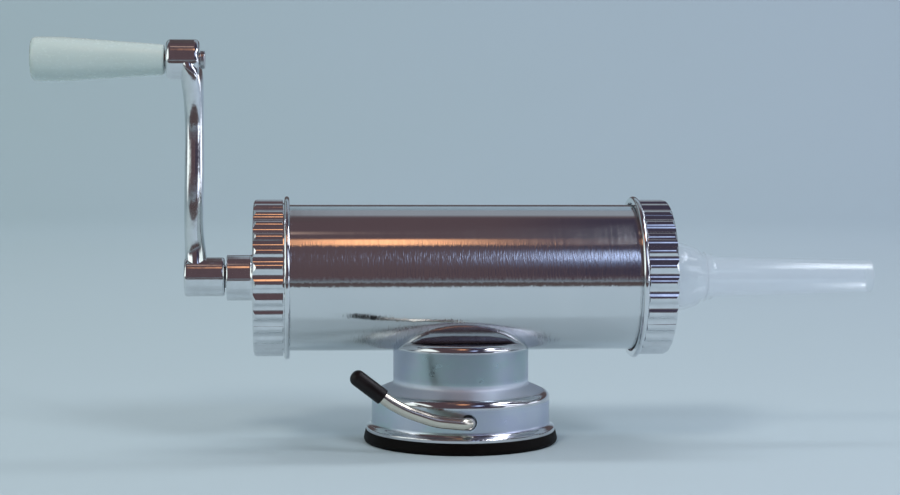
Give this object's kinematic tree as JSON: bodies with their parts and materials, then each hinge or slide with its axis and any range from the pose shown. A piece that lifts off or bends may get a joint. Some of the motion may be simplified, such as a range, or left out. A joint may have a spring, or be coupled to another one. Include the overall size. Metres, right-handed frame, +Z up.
{
  "type": "sausage stuffer",
  "caption": "Hand-cranked tabletop sausage stuffer: ribbed ring caps on a meat cylinder, screw-driven piston, clear nozzle and a lever-locked suction pedestal.",
  "frame": {"origin": "middle of the suction pad's underside, on the table", "axes": "+X along the cylinder to the nozzle, +Z up, -Y towards the suction lever's side"},
  "size_m": [0.4045, 0.0995, 0.1929],
  "materials": {
    "brushed_tube": "fine turned aluminium",
    "cap_chrome": "polished chrome plate",
    "crank_chrome": "polished chrome plate",
    "housing_satin": "satin plated casting",
    "nozzle_clear": "frosted clear plastic",
    "grip_white": "glossy white plastic",
    "piston_white": "moulded plastic",
    "gasket_rubber": "soft food-grade rubber",
    "pad_rubber": "black rubber",
    "tip_vinyl": "black dipped vinyl",
    "rod_nickel": "polished nickel plate",
    "screw_steel": "machined steel",
    "fastener_steel": "zinc-plated steel"
  },
  "bodies": {
    "stand": {"cylinder_tube": "brushed_tube", "base_housing": "housing_satin", "saddle_screws": "fastener_steel", "saddle_washers": "fastener_steel", "saddle_nuts": "fastener_steel", "suction_pad": "pad_rubber"},
    "rear_seal": {"rear_gasket": "gasket_rubber"},
    "rear_cap": {"rear_ring_cap": "cap_chrome"},
    "piston_group": {"piston": "piston_white", "piston_seal": "gasket_rubber", "thrust_washer": "fastener_steel"},
    "screw_and_crank": {"screw_rod": "screw_steel", "crank_arm": "crank_chrome", "crank_washer": "fastener_steel", "crank_screw": "fastener_steel", "grip_spindle": "fastener_steel", "piston_washer": "fastener_steel", "piston_screw": "fastener_steel"},
    "grip": {"grip": "grip_white"},
    "nozzle": {"nozzle": "nozzle_clear", "nozzle_gasket": "gasket_rubber"},
    "front_cap": {"front_ring_cap": "cap_chrome"},
    "lever": {"lever_rod": "rod_nickel", "lever_cam": "screw_steel", "cam_pin": "fastener_steel", "lever_tip": "tip_vinyl", "lever_clip": "fastener_steel"},
    "stud": {"suction_stud": "fastener_steel"}
  },
  "joints": [
    {"name": "rear_cap_unscrew_travel", "type": "slide", "parent": "stand", "child": "rear_seal", "axis": [-1, 0, 0], "range_m": [0, 0.012]},
    {"name": "rear_cap_turn", "type": "hinge", "parent": "rear_seal", "child": "rear_cap", "pos_m": [-0.09, 0, 0.079], "axis": [-1, 0, 0], "range_deg": [0, 1440]},
    {"name": "piston_travel", "type": "slide", "parent": "rear_cap", "child": "piston_group", "axis": [1, 0, 0], "range_m": [-0.165, 0]},
    {"name": "crank_turn", "type": "hinge", "parent": "piston_group", "child": "screw_and_crank", "pos_m": [0, 0, 0.079], "axis": [1, 0, 0], "range_deg": [-11880, 0]},
    {"name": "grip_spin", "type": "hinge", "parent": "screw_and_crank", "child": "grip", "pos_m": [-0.17, 0, 0.1825], "axis": [1, 0, 0], "continuous": true},
    {"name": "nozzle_release_travel", "type": "slide", "parent": "stand", "child": "nozzle", "axis": [1, 0, 0], "range_m": [0, 0.012]},
    {"name": "front_cap_turn", "type": "hinge", "parent": "nozzle", "child": "front_cap", "pos_m": [0.09, 0, 0.079], "axis": [1, 0, 0], "range_deg": [0, 1440]},
    {"name": "suction_lever", "type": "hinge", "parent": "stand", "child": "lever", "pos_m": [0, 0, 0.0151], "axis": [0, 1, 0], "range_deg": [0, 150]},
    {"name": "stud_lift", "type": "slide", "parent": "stand", "child": "stud", "axis": [0, 0, 1], "range_m": [0, 0.004], "deforming": ["suction_pad"]}
  ],
  "couplings": [
    {"joint": "piston_travel", "follows": "crank_turn", "m_per_rad": 0.00079577},
    {"joint": "rear_cap_unscrew_travel", "follows": "rear_cap_turn", "m_per_rad": 0.00047746},
    {"joint": "nozzle_release_travel", "follows": "front_cap_turn", "m_per_rad": 0.00047746},
    {"joint": "stud_lift", "follows": "suction_lever", "m_per_rad": 0.0015279}
  ]
}
